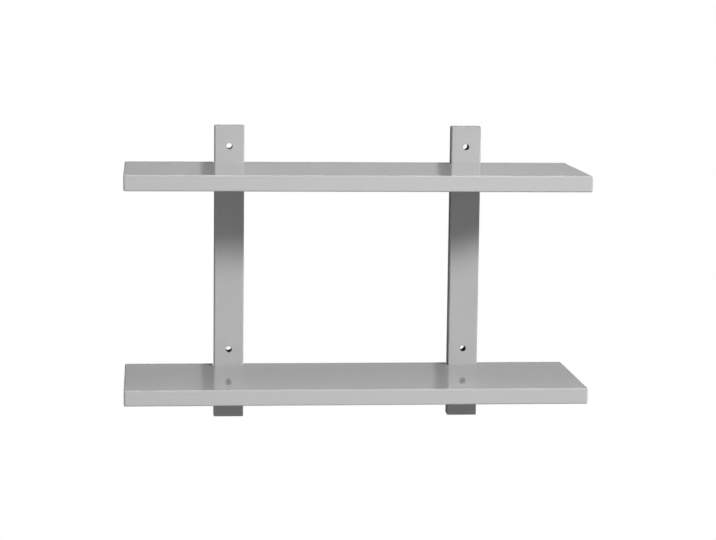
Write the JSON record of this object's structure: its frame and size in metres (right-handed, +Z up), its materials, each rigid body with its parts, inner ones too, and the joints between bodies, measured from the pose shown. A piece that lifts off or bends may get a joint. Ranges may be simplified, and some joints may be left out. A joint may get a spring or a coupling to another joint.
{
  "type": "two-tier wall shelf",
  "caption": "Wall shelf with an upper and a lower board notched over upright bars that screw to the wall through plain holes.",
  "frame": {"origin": "centre of the four wall-screw holes, on the wall plane at the back of the uprights", "axes": "+X to the right of a person who faces the shelf, +Y into the wall, +Z up"},
  "size_m": [0.6, 0.2, 0.396],
  "materials": {
    "grey_lacquer": "sprayed light grey lacquer, semi-gloss, on fine board",
    "zinc_steel": "bright zinc-plated steel",
    "beech": "raw turned beech"
  },
  "bodies": {
    "root": {"upper_shelf_board": "grey_lacquer", "lower_shelf_board": "grey_lacquer", "left_upright": "grey_lacquer", "right_upright": "grey_lacquer", "upper_left_screw": "zinc_steel", "upper_right_screw": "zinc_steel", "lower_left_screw": "zinc_steel", "lower_right_screw": "zinc_steel", "upper_left_outer_dowel": "beech", "upper_left_inner_dowel": "beech", "upper_right_outer_dowel": "beech", "upper_right_inner_dowel": "beech", "lower_left_outer_dowel": "beech", "lower_left_inner_dowel": "beech", "lower_right_outer_dowel": "beech", "lower_right_inner_dowel": "beech"}
  },
  "joints": []
}
